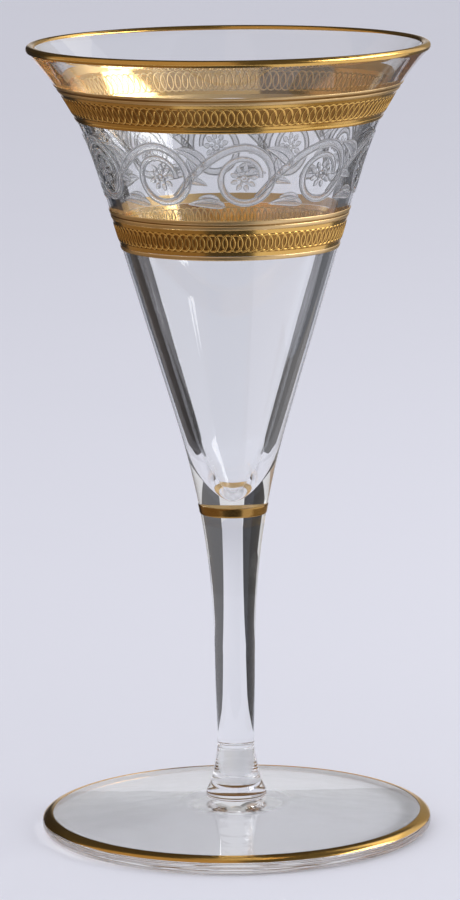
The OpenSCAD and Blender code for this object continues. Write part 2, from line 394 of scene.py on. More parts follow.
class Shape:
    """Points and faces of one piece, in millimetres, gathered until it becomes a mesh."""

    def __init__(self) -> None:
        """Starts with nothing in it."""
        self._points: list[np.ndarray] = []
        self._faces: list[tuple[int, ...]] = []
        self._finishes: list[Finish] = []
        self._count = 0

    def _add_points(self, points: np.ndarray) -> int:
        """Adds points.

        Args:
            points: their places, one row each.

        Returns:
            Number of the first one.
        """
        first = self._count
        self._points.append(points)
        self._count += len(points)
        return first

    def _add_face(self, corners: tuple[int, ...], finish: Finish) -> None:
        """Adds one face."""
        self._faces.append(corners)
        self._finishes.append(finish)

    def lathe(self, profile: Sequence[Point2], finishes: Sequence[Finish], segments: int) -> None:
        """Turns a profile around the axis.

        Args:
            profile: corners (radius, height), with the solid on the left of the way along them.
            finishes: finish of the stretch after each corner. A profile with as many finishes as
                corners is closed, and one with a finish fewer begins and ends on the axis.
            segments: steps around the axis.
        """
        turn = np.arange(segments) * FULL_TURN / segments
        starts = []
        for radius, height in profile:
            steps = turn[:1] if radius < ON_AXIS else turn
            ring = np.column_stack(
                [radius * np.cos(steps), radius * np.sin(steps), np.full(len(steps), height)]
            )
            starts.append((self._add_points(ring), len(steps)))
        for i, finish in enumerate(finishes):
            (here, here_n), (there, there_n) = starts[i], starts[(i + 1) % len(profile)]
            for j in range(segments):
                k = (j + 1) % segments
                corners = (here + j % here_n, here + k % here_n, there + k % there_n, there + j % there_n)
                self._add_face(tuple(dict.fromkeys(corners)), finish)

    def sweep(self, rings: np.ndarray, finishes: Sequence[Finish], looped: bool) -> None:
        """Joins a row of like rings into one closed solid.

        Args:
            rings: places, by ring and by point around the ring.
            finishes: finish of the stretch after each point of a ring.
            looped: whether the last ring joins the first; otherwise both ends are closed.
        """
        count, around = rings.shape[:2]
        first = self._add_points(rings.reshape(-1, 3))
        for i in range(count if looped else count - 1):
            here, there = first + i * around, first + (i + 1) % count * around
            for j, finish in enumerate(finishes):
                k = (j + 1) % around
                self._add_face((here + j, here + k, there + k, there + j), finish)
        if not looped:
            last = first + (count - 1) * around
            self._add_face(tuple(range(first, first + around)), finishes[0])
            self._add_face(tuple(range(last, last + around)), finishes[0])

    def build(self, name: str, palette: Palette) -> bpy.types.Object:
        """Makes the mesh and links it to the scene.

        Args:
            name: name of the piece.
            palette: where its materials come from.

        Returns:
            The piece.
        """
        mesh = bpy.data.meshes.new(name)
        points = np.concatenate(self._points) * MM
        mesh.from_pydata(points.tolist(), [], self._faces)
        used = list(dict.fromkeys(self._finishes))
        for finish in used:
            mesh.materials.append(palette.material(finish))
        places = [used.index(finish) for finish in self._finishes]
        mesh.polygons.foreach_set("material_index", places)
        mesh.polygons.foreach_set("use_smooth", [True] * len(self._faces))
        whole = bmesh.new()
        whole.from_mesh(mesh)
        bmesh.ops.recalc_face_normals(whole, faces=whole.faces)
        whole.to_mesh(mesh)
        whole.free()
        mesh.set_sharp_from_angle(angle=SHARP_ANGLE)
        piece = bpy.data.objects.new(name, mesh)
        bpy.context.scene.collection.objects.link(piece)
        return piece


def set_out(shape: Shape, name: str, node: str, palette: Palette) -> bpy.types.Object:
    """Makes a piece and puts it on the frame in place of its CAD node.

    Args:
        shape: the piece's points and faces.
        name: name of the piece.
        node: CAD node that it stands for.
        palette: where its materials come from.

    Returns:
        The piece.
    """
    piece = shape.build(name, palette)
    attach(piece, BODY)
    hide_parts(node)
    LOG.info("%s: %d points, %d faces", name, len(piece.data.vertices), len(piece.data.polygons))
    return piece


def bezier(corners: Sequence[Point2], steps: int) -> np.ndarray:
    """Points along a cubic or quadratic curve.

    Args:
        corners: the first point, the pulling points and the last point.
        steps: steps from the first point to the last.

    Returns:
        The points, both ends included.
    """
    t = np.linspace(0.0, 1.0, steps + 1)[:, None]
    level = [np.array(corner) + 0 * t for corner in corners]
    while len(level) > 1:
        level = [(1 - t) * here + t * there for here, there in zip(level, level[1:])]
    return level[0]


@dataclass(frozen=True)
class Outline:
    """Outline that the pieces of the glass share."""

    height: float = CAD_BOX[1].z / MM
    bowl_height: float = 86.3
    wall_angle: float = math.radians(16.6)
    flare_drop: float = 23.0
    flare_start_r: float = 24.25
    flare_bend_r: float = 55.0
    wall_t: float = 2.4
    lip_r: float = 0.7
    gild_t: float = 0.1
    stem_r: float = 3.85
    stem_end_r: float = 3.45
    stem_arc_r: float = 149.0
    collar_h: float = 15.5
    inner_flare_drop: float = 1.0
    seam_depth: float = 0.12
    seam_half_h: float = 0.11

    @property
    def root_z(self) -> float:
        """Height of the bowl's root, where it meets the stem."""
        return self.height - self.bowl_height

    @property
    def flare_z(self) -> float:
        """Height where the outward curve of the wall begins."""
        return self.height - self.flare_drop

    @property
    def straight_z(self) -> float:
        """Height where the straight wall begins."""
        rise = self.flare_start_r - self.stem_r - self.stem_arc_r * (1 - math.cos(self.wall_angle))
        return self.flare_z - rise / math.tan(self.wall_angle)

    @property
    def stem_arc_z(self) -> float:
        """Height of the slim part of the stem."""
        return self.straight_z - self.stem_arc_r * math.sin(self.wall_angle)

    @property
    def lip_z(self) -> float:
        """Height of the middle of the rounded lip."""
        return self.height - self.gild_t - self.lip_r

    @property
    def lip_angle(self) -> float:
        """Slope of the outer flare where it meets the lip."""
        rise = self.lip_z - self.flare_z + self.flare_bend_r * math.sin(self.wall_angle)
        return math.asin(rise / (self.flare_bend_r + self.lip_r))

    @property
    def lip_cx(self) -> float:
        """Radius of the middle of the rounded lip."""
        edge_z = self.lip_z - self.lip_r * math.sin(self.lip_angle)
        return float(self.outer_r(edge_z)) - self.lip_r * math.cos(self.lip_angle)

    @property
    def inner_flare_z(self) -> float:
        """Height where the inner wall begins to curve outwards."""
        return self.flare_z - self.inner_flare_drop

    @property
    def inner_bend_r(self) -> float:
        """Radius of the inner flare, which ends on the lip.

        Returns:
            The radius.
        """
        across, rise = self._lip_from_inner_flare()
        reach = across * math.cos(self.wall_angle) - rise * math.sin(self.wall_angle) - self.lip_r
        return (across**2 + rise**2 - self.lip_r**2) / (2 * reach)

    @property
    def inner_lip_angle(self) -> float:
        """Slope of the inner flare where it meets the lip.

        Returns:
            The slope, in radians.
        """
        across, rise = self._lip_from_inner_flare()
        bend = self.inner_bend_r
        return math.atan2(rise + bend * math.sin(self.wall_angle), bend * math.cos(self.wall_angle) - across)

    @property
    def inner_lip_z(self) -> float:
        """Height where the inner flare meets the lip."""
        return self.lip_z + self.lip_r * math.sin(self.inner_lip_angle)

    def _lip_from_inner_flare(self) -> tuple[float, float]:
        """How far the middle of the lip lies out from and above the start of the inner flare."""
        return self.lip_cx - self.line_r(self.inner_flare_z) + self.wall_t, self.lip_z - self.inner_flare_z

    def line_r(self, z: Numbers) -> Numbers:
        """Radius of the straight wall, carried on above and below it."""
        return self.flare_start_r + (z - self.flare_z) * math.tan(self.wall_angle)

    def _bend_r(self, z: Numbers, from_r: float, from_z: float, bend: float) -> Numbers:
        """Radius of a wall that bends outwards from the straight slope.

        Args:
            z: height or heights.
            from_r: radius where the bend begins.
            from_z: height where the bend begins.
            bend: radius of the bend.

        Returns:
            The radius at each height.
        """
        lean = np.clip(math.sin(self.wall_angle) + (z - from_z) / bend, -1.0, 1.0)
        return from_r + bend * (math.cos(self.wall_angle) - np.sqrt(1 - lean**2))

    def outer_r(self, z: Numbers) -> np.ndarray:
        """Outer radius of stem and bowl, from the collar to the lip.

        Args:
            z: height or heights.

        Returns:
            The radius at each height.
        """
        z = np.asarray(z, float)
        flare = self._bend_r(z, self.flare_start_r, self.flare_z, self.flare_bend_r)
        sag = np.clip(self.stem_arc_r**2 - (z - self.stem_arc_z) ** 2, 0.0, None)
        arc = self.stem_r + self.stem_arc_r - np.sqrt(sag)
        slim = (z - self.collar_h) / (self.stem_arc_z - self.collar_h)
        taper = self.stem_end_r + (self.stem_r - self.stem_end_r) * slim
        places = [z > self.flare_z, z > self.straight_z, z > self.stem_arc_z]
        return np.select(places, [flare, self.line_r(z), arc], taper)

    def inner_flare_r(self, z: Numbers) -> Numbers:
        """Inner radius of the flare.

        Args:
            z: height or heights.

        Returns:
            The radius at each height.
        """
        start_r = self.line_r(self.inner_flare_z) - self.wall_t
        return self._bend_r(z, start_r, self.inner_flare_z, self.inner_bend_r)

    def lean(self, z: Numbers) -> np.ndarray:
        """Slope of the outer wall from the upright, in radians.

        Args:
            z: height or heights.

        Returns:
            The slope at each height.
        """
        step = 0.01
        return np.arctan2(self.outer_r(z + step) - self.outer_r(z - step), 2 * step)

    def wall(self, z: np.ndarray) -> tuple[np.ndarray, np.ndarray]:
        """Points of the outer wall, and the way out of the glass at each of them.

        Args:
            z: heights.

        Returns:
            The points and the ways out, as radius and height.
        """
        lean = self.lean(z)
        out = np.column_stack([np.cos(lean), -np.sin(lean)])
        return np.column_stack([self.outer_r(z), z]), out

    def lip_points(self, grow: float, steps: int) -> np.ndarray:
        """Corners of the rounded lip, from the outside over the top to the inside.

        Args:
            grow: how far outside the glass they lie.
            steps: steps over the lip.

        Returns:
            The corners.
        """
        angle = np.linspace(-self.lip_angle, math.pi - self.inner_lip_angle, steps + 1)
        reach = self.lip_r + grow
        return np.column_stack([self.lip_cx + reach * np.cos(angle), self.lip_z + reach * np.sin(angle)])


class Layer:
    """A thin layer of gold turned around the glass, with its underside just inside the glass."""

    EMBED = 0.03

    @staticmethod
    def turn(
        shape: Shape,
        over: np.ndarray,
        under: np.ndarray,
        finishes: Sequence[Finish],
        segments: int,
        underside: Finish = Finish.PASTE,
    ) -> None:
        """Adds a closed ring.

        Args:
            shape: the piece that gets it.
            over: corners of its outer side, with the gold on the left of the way along them.
            under: corners of its underside, in the same order.
            finishes: finish of each stretch of the outer side.
            segments: steps around the axis.
            underside: finish of the side against the glass.
        """
        profile = np.concatenate([over, under[::-1]])
        hidden = [underside] * (len(under) - 1)
        shape.lathe(profile, [*finishes, finishes[-1], *hidden, finishes[0]], segments)


@dataclass
class Bowl:
    """The flared cup with its solid root."""

    outline: Outline
    segments: int = 288
    wall_steps: int = 150
    lip_steps: int = 20
    inner_steps: int = 50
    point_steps: int = 36
    point_drop: float = 73.5
    point_lead: float = 2.0
    point_blunt_r: float = 2.5
    point_blunt_h: float = 0.1
    root_t: float = 2.0

    def profile(self) -> np.ndarray:
        """Closed outline of the glass of the bowl, from the axis round to the axis.

        Returns:
            The corners.
        """
        o = self.outline
        lip = o.lip_points(0.0, self.lip_steps)
        outer_z = np.linspace(o.root_z, lip[0][1], self.wall_steps, endpoint=False)
        flare_z = np.linspace(o.inner_lip_z, o.inner_flare_z, self.inner_steps, endpoint=False)[1:]
        top_z = o.height - self.point_drop
        wall_z = np.linspace(o.inner_flare_z, top_z, self.inner_steps, endpoint=False)
        top_r = o.line_r(top_z) - o.wall_t
        tip_z = o.root_z + self.root_t
        lead = (top_r - self.point_lead * math.tan(o.wall_angle), top_z - self.point_lead)
        blunt = (self.point_blunt_r, tip_z + self.point_blunt_h)
        point = bezier(((top_r, top_z), lead, blunt, (0.0, tip_z)), self.point_steps)
        return np.concatenate([
            [(0.0, o.root_z)],
            np.column_stack([o.outer_r(outer_z), outer_z]),
            lip,
            np.column_stack([o.inner_flare_r(flare_z), flare_z]),
            np.column_stack([o.line_r(wall_z) - o.wall_t, wall_z]),
            point,
        ])

    def make(self, palette: Palette) -> None:
        """Builds and dresses the bowl.

        Args:
            palette: where its materials come from.
        """
        profile = self.profile()
        shape = Shape()
        shape.lathe(profile, [Finish.SEAM] + [Finish.CLEAR] * (len(profile) - 2), self.segments)
        set_out(shape, "bowl_glass", "bowl", palette)


@dataclass
class Stem:
    """The drawn stem, solid and round."""

    outline: Outline
    segments: int = 192
    steps: int = 90

    def make(self, palette: Palette) -> None:
        """Builds and dresses the stem.

        Args:
            palette: where its materials come from.
        """
        o = self.outline
        z = np.linspace(o.collar_h + o.seam_half_h, o.root_z, self.steps)
        side = np.column_stack([o.outer_r(z), z])
        profile = np.concatenate([
            [(0.0, o.collar_h), (o.stem_end_r - o.seam_depth, o.collar_h)],
            side,
            [(0.0, o.root_z)],
        ])
        finishes = [Finish.SEAM] + [Finish.CLEAR] * (len(profile) - 3) + [Finish.SEAM]
        shape = Shape()
        shape.lathe(profile, finishes, self.segments)
        set_out(shape, "stem_glass", "stem", palette)


@dataclass
class Foot:
    """The disc foot with its rounded edge and the collar under the stem."""

    outline: Outline
    diameter: float = 2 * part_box("foot")[1].x / MM
    edge_h: float = 1.6
    shoulder_w: float = 2.5
    under_w: float = 1.6
    slope: float = math.radians(5.3)
    neck: Point2 = (0.5, -3.5)
    bead_base: float = 2.05
    bead_throat: Point2 = (0.9, 3.7)
    bead_top: Point2 = (1.65, 2.3)
    bead_crest: Point2 = (2.05, 1.55)
    bead_side: Point2 = (2.3, 0.6)
    bead_steps: int = 16
    rest_w: float = 2.0
    hollow_r: float = 9.0
    hollow_steps: int = 20
    ring_edge_angle: float = math.radians(26)
    ring_w: float = 1.8
    ring_steps: int = 12
    segments: int = 288
    edge_steps: int = 24
    top_steps: int = 30
    collar_steps: int = 40

    @property
    def shoulder_angle(self) -> float:
        """Angle on the rounded edge at which the flat top begins."""
        return math.atan2(self.edge_h, self.shoulder_w * math.tan(self.slope))

    def top_z(self, r: Numbers) -> Numbers:
        """Height of the top of the foot at a radius."""
        shoulder_r, shoulder_z = self.edge_points(self.shoulder_angle, self.shoulder_angle, 1)[0]
        return shoulder_z + (shoulder_r - r) * math.tan(self.slope)

    def edge_points(self, from_angle: float, to_angle: float, steps: int, grow: float = 0.0) -> np.ndarray:
        """Corners of the rounded edge.

        Args:
            from_angle: angle of the first corner, 0 outwards and a quarter turn up.
            to_angle: angle of the last corner.
            steps: steps between them.
            grow: how far outside the glass they lie.

        Returns:
            The corners.
        """
        angle = np.linspace(from_angle, to_angle, steps + 1)
        width = np.where(angle > 0, self.shoulder_w, self.under_w)
        r = self.diameter / 2 - width + (width + grow) * np.cos(angle)
        return np.column_stack([r, self.edge_h + (self.edge_h + grow) * np.sin(angle)])

    def collar_points(self) -> np.ndarray:
        """Corners of the collar, from its bead on the foot up to the stem.

        Returns:
            The corners.
        """
        end_r, base_r = self.outline.stem_end_r, self.outline.stem_end_r + self.bead_base
        base_z = self.top_z(base_r)
        throat, top, crest, side = (
            (end_r + out, base_z + up)
            for out, up in (self.bead_throat, self.bead_top, self.bead_crest, self.bead_side)
        )
        joint = (end_r, self.outline.collar_h)
        neck = (end_r + self.neck[0], self.outline.collar_h + self.neck[1])
        bead = bezier(((base_r, base_z), side, crest, top), self.bead_steps)
        flare = bezier((top, throat, neck, joint), self.collar_steps)
        return np.concatenate([bead, flare[1:]])

    def profile(self) -> np.ndarray:
        """Closed outline of the foot, from the axis round to the axis.

        Returns:
            The corners.
        """
        o = self.outline
        collar = self.collar_points()
        edge = self.edge_points(-math.pi / 2, self.shoulder_angle, self.edge_steps)
        top_r = np.linspace(edge[-1][0], collar[0][0], self.top_steps, endpoint=False)[1:]
        below_seam = collar[collar[:, 1] < o.collar_h - o.seam_half_h]
        rest_r = self.diameter / 2 - self.under_w - self.rest_w
        under_r = np.linspace(self.hollow_r, rest_r, self.hollow_steps)
        under_z = (rest_r - under_r) * math.tan(self.slope)
        return np.concatenate([
            [(0.0, under_z[0])],
            np.column_stack([under_r, under_z]),
            edge,
            np.column_stack([top_r, self.top_z(top_r)]),
            below_seam,
            [(o.stem_end_r - o.seam_depth, o.collar_h), (0.0, o.collar_h)],
        ])

    def make(self, palette: Palette) -> None:
        """Builds and dresses the foot and its gold ring.

        Args:
            palette: where its materials come from.
        """
        profile = self.profile()
        shape = Shape()
        shape.lathe(profile, [Finish.CLEAR] * (len(profile) - 2) + [Finish.SEAM], self.segments)
        glass = set_out(shape, "foot_glass", "foot", palette)
        glass.visible_shadow = False
        self._make_ring(palette)

    def _make_ring(self, palette: Palette) -> None:
        """Builds and dresses the gold ring on the shoulder of the foot.

        Args:
            palette: where its materials come from.
        """
        shape = Shape()
        top_angle = math.acos(math.cos(self.ring_edge_angle) - self.ring_w / self.shoulder_w)
        over, under = (
            self.edge_points(self.ring_edge_angle, top_angle, self.ring_steps, rise)
            for rise in (self.outline.gild_t, -Layer.EMBED)
        )
        # The ring's underside takes the dark matt gold: painted shade under the ring, seen through the foot.
        Layer.turn(shape, over, under, [Finish.BURNISHED] * (len(over) - 1), self.segments, Finish.MATT_SHADE)
        set_out(shape, "foot_ring_gold", "foot_ring", palette)


@dataclass
class RimGilding:
    """The gold over the lip, outside and inside."""

    outline: Outline
    inside_h: float = 0.3
    inside_steps: int = 3
    steps: int = 26
    segments: int = 288

    def make(self, palette: Palette) -> None:
        """Builds and dresses the gold of the lip.

        Args:
            palette: where its materials come from.
        """
        o = self.outline
        inside_z = np.linspace(o.inner_lip_z, o.inner_lip_z - self.inside_h, self.inside_steps + 1)[1:]
        inside = np.column_stack([o.inner_flare_r(inside_z), inside_z])
        normal = np.array([-math.cos(o.inner_lip_angle), math.sin(o.inner_lip_angle)])
        over = np.concatenate([o.lip_points(o.gild_t, self.steps), inside + o.gild_t * normal])
        under = np.concatenate([o.lip_points(-Layer.EMBED, self.steps), inside - Layer.EMBED * normal])
        over[0] = (over[0] + under[0]) / 2
        over[-1] = (over[-1] + under[-1]) / 2
        shape = Shape()
        Layer.turn(shape, over, under, [Finish.BURNISHED] * (len(over) - 1), self.segments)
        set_out(shape, "rim_gold", "rim_gilding", palette)


@dataclass
class Fillet:
    """A gold ring on the outer wall: a raised round fillet, and a flat where the recess beside it is."""

    outline: Outline
    name: str
    node: str
    top_z: float
    bottom_z: float
    recess_top_z: float | None = None
    recess_bottom_z: float | None = None
    finish: Finish = Finish.PASTE
    rise: float = 0.13
    flat_rise: float = 0.035
    fullness: float = 2.5
    steps: int = 10
    segments: int = 288

    def section(self) -> tuple[np.ndarray, np.ndarray, list[Finish]]:
        """Heights, rises and finishes of the outer side, from the lowest up.

        Returns:
            The heights, the rises and the finish of each stretch.
        """
        t = np.linspace(-1.0, 1.0, self.steps + 1)
        half = (self.top_z - self.bottom_z) / 2
        z = (self.top_z + self.bottom_z) / 2 + half * t
        crown = np.clip(1 - np.abs(t) ** self.fullness, 0.0, 1.0) ** (1 / self.fullness)
        rise = self.flat_rise + (self.rise - self.flat_rise) * crown
        finishes = [self.finish] * self.steps
        # The recess flats beside the fillet take the dark matt gold: painted shade in the recesses.
        if self.recess_bottom_z is not None:
            z = np.concatenate([[self.recess_bottom_z], z])
            rise = np.concatenate([[self.flat_rise], rise])
            finishes = [Finish.MATT_SHADE] + finishes
        if self.recess_top_z is not None:
            z = np.concatenate([z, [self.recess_top_z]])
            rise = np.concatenate([rise, [self.flat_rise]])
            finishes = finishes + [Finish.MATT_SHADE]
        return z, rise, finishes

    def make(self, palette: Palette) -> None:
        """Builds and dresses the ring.

        Args:
            palette: where its materials come from.
        """
        z, rise, finishes = self.section()
        place, out = self.outline.wall(z)
        shape = Shape()
        Layer.turn(shape, place + rise[:, None] * out, place - Layer.EMBED * out, finishes, self.segments)
        set_out(shape, self.name, self.node, palette)


@dataclass
class Guilloche:
    """A gold field with a row of interlaced ovals between plain margins."""

    outline: Outline
    name: str
    node: str
    top_z: float
    bottom_z: float
    oval_top_z: float
    oval_bottom_z: float
    ovals: int
    half_width: float
    ridge_half_w: float = 0.19
    ridge_rise: float = 0.09
    ridge_depth: float = 0.1
    ground_rise: float = 0.02
    margin_rise: float = 0.045
    weave: float = 0.035
    oval_steps: int = 36
    ridge_sides: int = 8
    ground_steps: int = 12
    segments: int = 288

    def _add_ground(self, shape: Shape) -> None:
        """Adds the field under the ovals and its plain margins.

        Args:
            shape: the piece that gets them.
        """
        field_z = np.linspace(self.oval_bottom_z, self.oval_top_z, self.ground_steps + 1)
        spans = (
            (np.array([self.bottom_z, self.oval_bottom_z]), self.margin_rise, Finish.BURNISHED),
            # The field between the ovals takes the dark matt gold: painted shade in the ground between them.
            (field_z, self.ground_rise, Finish.MATT_SHADE),
            (np.array([self.oval_top_z, self.top_z]), self.margin_rise, Finish.BURNISHED),
        )
        over, under, finishes = [], [], []
        for z, rise, finish in spans:
            place, out = self.outline.wall(z)
            over.append(place + rise * out)
            under.append(place - Layer.EMBED * out)
            finishes += [finish] * len(z)
        under_side = np.concatenate([under[0][:1], under[1], under[2][1:]])
        profile = np.concatenate([*over, under_side[::-1]])
        shape.lathe(profile, finishes + [Finish.UNDERSIDE] * len(under_side), self.segments)

    def _add_ovals(self, shape: Shape) -> None:
        """Adds the ovals, each a low ridge that passes over its right neighbour.

        Args:
            shape: the piece that gets them.
        """
        t = np.arange(self.oval_steps) * FULL_TURN / self.oval_steps
        half_h = (self.oval_top_z - self.oval_bottom_z) / 2 - self.ridge_half_w
        z = (self.oval_top_z + self.oval_bottom_z) / 2 + half_h * np.sin(t)
        lean = self.outline.lean(z)
        radius = self.outline.outer_r(z) + self.ground_rise + self.weave * np.cos(t)
        angle = self.half_width * np.cos(t) / radius
        path = np.column_stack([radius * np.cos(angle), radius * np.sin(angle), z])
        out = np.column_stack([np.cos(lean) * np.cos(angle), np.cos(lean) * np.sin(angle), -np.sin(lean)])
        along = np.roll(path, -1, 0) - np.roll(path, 1, 0)
        side = np.cross(along, out)
        side /= np.linalg.norm(side, axis=1)[:, None]
        q = np.arange(self.ridge_sides) * FULL_TURN / self.ridge_sides
        sunk = self.ridge_depth + self.weave * np.cos(t)
        reach = np.where(np.cos(q) > 0, self.ridge_rise, sunk[:, None])
        raised = (reach * np.cos(q))[:, :, None] * out[:, None]
        spread = self.ridge_half_w * np.sin(q)[None, :, None] * side[:, None]
        rings = path[:, None] + raised + spread
        inward = np.cos(q + math.pi / self.ridge_sides) < 0
        finishes = [Finish.PASTE if turned else Finish.BURNISHED for turned in inward]
        for i in range(self.ovals):
            turn = Matrix.Rotation(i * FULL_TURN / self.ovals, 3, "Z")
            shape.sweep(rings @ np.array(turn).T, finishes, looped=True)

    def make(self, palette: Palette) -> None:
        """Builds and dresses the field.

        Args:
            palette: where its materials come from.
        """
        shape = Shape()
        self._add_ground(shape)
        self._add_ovals(shape)
        set_out(shape, self.name, self.node, palette)


@dataclass
class GoldBands:
    """The gold rings on the bowl and the stem, each measured down from the top edge of its band."""

    outline: Outline
    upper_drop: float = 7.1
    upper_first: Point2 = (0.0, 0.45)
    upper_second: Point2 = (0.85, 1.4)
    upper_field: Point2 = (1.45, 6.0)
    upper_ovals: Point2 = (1.95, 5.5)
    upper_bottom: Point2 = (6.05, 6.7)
    upper_count: int = 123
    upper_half_width: float = 1.3
    lower_drop: float = 30.1
    lower_first: Point2 = (0.0, 0.75)
    lower_second: Point2 = (1.0, 1.7)
    lower_field: Point2 = (1.75, 6.65)
    lower_ovals: Point2 = (2.45, 5.9)
    lower_bottom: Point2 = (6.7, 7.45)
    lower_count: int = 95
    lower_half_width: float = 1.12
    stem_ring_h: float = 1.8
    stem_ring_fullness: float = 12.0

    def make(self, palette: Palette) -> None:
        """Builds and dresses the rings.

        Args:
            palette: where their materials come from.
        """
        o = self.outline
        up = o.height - self.upper_drop
        low = o.height - self.lower_drop
        half_ring = self.stem_ring_h / 2
        rings = (
            Fillet(
                o, "upper_first_fillet_gold", "upper_band_first_fillet",
                up - self.upper_first[0], up - self.upper_first[1],
                recess_bottom_z=up - self.upper_second[0],
            ),
            Fillet(
                o, "upper_second_fillet_gold", "upper_band_second_fillet",
                up - self.upper_second[0], up - self.upper_second[1],
                recess_bottom_z=up - self.upper_field[0],
            ),
            Fillet(
                o, "upper_bottom_fillet_gold", "upper_band_bottom_fillet",
                up - self.upper_bottom[0], up - self.upper_bottom[1],
                recess_top_z=up - self.upper_field[1], finish=Finish.BURNISHED,
            ),
            Fillet(
                o, "lower_first_fillet_gold", "lower_band_first_fillet",
                low - self.lower_first[0], low - self.lower_first[1],
                recess_bottom_z=low - self.lower_second[0],
            ),
            Fillet(
                o, "lower_second_fillet_gold", "lower_band_second_fillet",
                low - self.lower_second[0], low - self.lower_second[1],
            ),
            Fillet(
                o, "lower_bottom_fillet_gold", "lower_band_bottom_fillet",
                low - self.lower_bottom[0], low - self.lower_bottom[1],
            ),
            # The stem ring is in the darker gold all round.
            Fillet(
                o, "stem_ring_gold", "stem_ring",
                o.root_z + half_ring, o.root_z - half_ring,
                finish=Finish.DARKER_GOLD, rise=o.gild_t, fullness=self.stem_ring_fullness,
            ),
            Guilloche(
                o, "upper_guilloche_gold", "upper_band_guilloche",
                up - self.upper_field[0], up - self.upper_field[1],
                up - self.upper_ovals[0], up - self.upper_ovals[1],
                self.upper_count, self.upper_half_width,
            ),
            Guilloche(
                o, "lower_guilloche_gold", "lower_band_guilloche",
                low - self.lower_field[0], low - self.lower_field[1],
                low - self.lower_ovals[0], low - self.lower_ovals[1],
                self.lower_count, self.lower_half_width,
            ),
        )
        for ring in rings:
            ring.make(palette)


@dataclass(frozen=True)
class StrokeSection:
    """Cross-section of an etched stroke: places across its half width, rises and finishes."""

    across: tuple[float, ...]
    rises: tuple[float, ...]
    finishes: tuple[Finish, ...]


# The grey frost paints shade on the sides of each rim, on the outer edges and in the leaf's vein.
# The whiter, denser frost on the top of each rim paints a highlight along it.
STALK = StrokeSection(
    (-1.0, -0.93, -0.76, -0.62, -0.5, 0.0, 0.5, 0.62, 0.76, 0.93, 1.0),
    (0.02, 0.16, 0.16, 0.06, 0.11, 0.13, 0.11, 0.06, 0.16, 0.16, 0.02),
    (
        Finish.SHADED_FROST, Finish.HIGHLIT_FROST, Finish.SHADED_FROST, Finish.FROST, Finish.FROST,
        Finish.FROST, Finish.FROST, Finish.SHADED_FROST, Finish.HIGHLIT_FROST, Finish.SHADED_FROST,
    ),
)
LEAF = StrokeSection(
    (-1.0, -0.9, -0.68, -0.07, 0.07, 0.68, 0.9, 1.0),
    (0.02, 0.15, 0.12, 0.08, 0.08, 0.12, 0.15, 0.02),
    (Finish.SHADED_FROST, Finish.HIGHLIT_FROST, Finish.FROST, Finish.SHADED_FROST, Finish.FROST, Finish.HIGHLIT_FROST, Finish.SHADED_FROST),
)
PETAL = StrokeSection(
    (-1.0, -0.8, 0.0, 0.8, 1.0),
    (0.02, 0.14, 0.2, 0.14, 0.02),
    (Finish.SHADED_FROST, Finish.FROST, Finish.FROST, Finish.SHADED_FROST),
)


